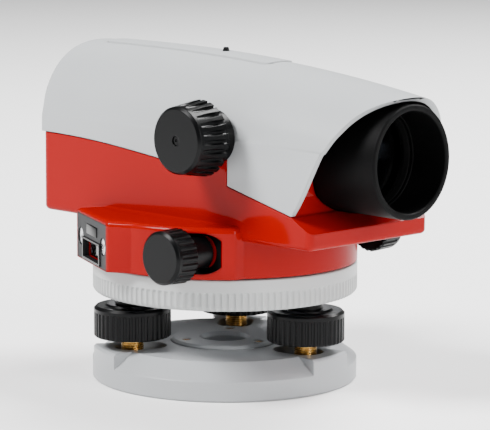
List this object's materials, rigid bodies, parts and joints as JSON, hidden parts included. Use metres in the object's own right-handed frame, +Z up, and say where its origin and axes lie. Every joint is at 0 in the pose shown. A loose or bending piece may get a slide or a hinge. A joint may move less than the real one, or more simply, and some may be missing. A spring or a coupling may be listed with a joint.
{
  "type": "automatic level",
  "caption": "Automatic level: a hooded horizontal telescope on a levelling base with three foot screws, a setting ring, an endless side drive and a focusing knob.",
  "frame": {"origin": "centre of the tripod thread at the base plate's underside", "axes": "+Z up along the standing axis, +X along the line of sight towards the objective, -Y the instrument's right side with the focusing knob"},
  "size_m": [0.1757, 0.1164, 0.1206],
  "materials": {
    "grey_paint": "satin",
    "brass": "turned",
    "spring_steel": "rolled",
    "steel": "turned",
    "bare_alloy": "machined",
    "grey_plastic": "matt",
    "scale_plastic": "matt",
    "red_paint": "gloss",
    "cover_grey": "fine matt texture",
    "black_paint": "matt",
    "black_plastic": "moulded matt",
    "dark_plastic": "moulded satin",
    "lens_glass": "coated",
    "vial_liquid": "clear",
    "mirror": "silvered",
    "soft_rubber": "matt"
  },
  "bodies": {
    "base": {"base_plate": "grey_paint", "tripod_bush": "grey_paint", "tripod_bush_screws": "brass", "foot_seats": "brass", "retaining_plate": "spring_steel", "retaining_screws": "steel"},
    "foot_screw_a": {"foot_knob_a": "black_plastic", "foot_spindle_a": "brass"},
    "foot_screw_b": {"foot_knob_b": "black_plastic", "foot_spindle_b": "brass"},
    "foot_screw_c": {"foot_knob_c": "black_plastic", "foot_spindle_c": "brass"},
    "head": {"levelling_head": "bare_alloy", "foot_nuts": "brass"},
    "setting_ring": {"setting_ring": "grey_plastic", "graduated_circle": "scale_plastic"},
    "clutch": {"worm_wheel": "brass", "clutch_spring": "spring_steel"},
    "alidade": {"lower_housing": "red_paint", "top_cover": "cover_grey", "front_mask": "black_paint", "cover_screws": "steel", "sight_point": "black_plastic", "window_plate": "dark_plastic", "window_screws": "steel", "reading_lens": "lens_glass", "axis_spindle": "steel", "drive_bushes": "brass", "focus_bush": "black_plastic", "telescope_barrel": "black_paint", "objective_tube": "black_paint", "objective_lens": "lens_glass", "objective_rear_lens": "lens_glass", "objective_ring": "black_paint", "compensator_frame": "bare_alloy", "fixed_prisms": "lens_glass", "suspension_wires": "spring_steel", "damper_magnet": "steel", "reticle_cell": "bare_alloy", "reticle": "lens_glass", "eyepiece_tube": "black_paint", "level_bracket": "black_paint", "level_case": "bare_alloy", "level_vial": "vial_liquid", "level_mirror_arm": "black_plastic", "level_mirror": "mirror"},
    "drive": {"drive_shaft": "steel", "drive_knob_right": "black_plastic", "drive_knob_left": "black_plastic"},
    "focus": {"focus_knob": "black_plastic", "focus_knob_screw": "black_plastic", "focus_pinion": "steel"},
    "focus_lens_cell": {"focus_rack": "brass", "focus_cell": "bare_alloy", "focus_lens": "lens_glass"},
    "pendulum": {"pendulum_arm": "bare_alloy", "pendulum_prism": "lens_glass"},
    "eyepiece": {"dioptre_ring": "black_plastic", "eyecup": "soft_rubber", "eyepiece_lenses": "lens_glass"}
  },
  "joints": [
    {"name": "foot_screw_c_turn", "type": "hinge", "parent": "base", "child": "foot_screw_c", "pos_m": [0.03593, 0.00518, 0.0074], "axis": [0, 0, 1], "range_deg": [-900, 900]},
    {"name": "head_tilt", "type": "hinge", "parent": "base", "child": "head", "pos_m": [-0.01796, -0.00259, 0.0074], "axis": [-0.1426, 0.9898, 0], "range_deg": [-1.98, 1.98]},
    {"name": "foot_screw_a_turn", "type": "hinge", "parent": "head", "child": "foot_screw_a", "pos_m": [-0.01348, -0.0337, 0.0074], "axis": [0, 0, 1], "range_deg": [-900, 900]},
    {"name": "foot_screw_b_turn", "type": "hinge", "parent": "head", "child": "foot_screw_b", "pos_m": [-0.02245, 0.02853, 0.0074], "axis": [0, 0, 1], "range_deg": [-900, 900]},
    {"name": "setting_ring_turn", "type": "hinge", "parent": "head", "child": "setting_ring", "pos_m": [0, 0, 0.038], "axis": [0, 0, 1], "continuous": true},
    {"name": "clutch_turn", "type": "hinge", "parent": "head", "child": "clutch", "pos_m": [0, 0, 0.05], "axis": [0, 0, 1], "continuous": true},
    {"name": "alidade_turn", "type": "hinge", "parent": "clutch", "child": "alidade", "pos_m": [0, 0, 0.053], "axis": [0, 0, 1], "continuous": true},
    {"name": "drive_turn", "type": "hinge", "parent": "alidade", "child": "drive", "pos_m": [0.0267, 0, 0.053], "axis": [0, 1, 0], "continuous": true},
    {"name": "focus_turn", "type": "hinge", "parent": "alidade", "child": "focus", "pos_m": [0.026, 0, 0.0928], "axis": [0, -1, 0], "range_deg": [-300, 300]},
    {"name": "focus_slide", "type": "slide", "parent": "alidade", "child": "focus_lens_cell", "axis": [1, 0, 0], "range_m": [-0.0084, 0.0084]},
    {"name": "eyepiece_turn", "type": "hinge", "parent": "alidade", "child": "eyepiece", "pos_m": [-0.075, 0, 0.087], "axis": [1, 0, 0], "range_deg": [-150, 150]},
    {"name": "pendulum_swing", "type": "hinge", "parent": "alidade", "child": "pendulum", "pos_m": [-0.026, 0, 0.109], "axis": [0, 1, 0], "range_deg": [-0.5, 0.5]}
  ],
  "couplings": [
    {"joint": "head_tilt", "follows": "foot_screw_c_turn", "ratio": 0.0021922},
    {"joint": "drive_turn", "follows": "alidade_turn", "ratio": 88},
    {"joint": "focus_slide", "follows": "focus_turn", "m_per_rad": 0.0016}
  ]
}
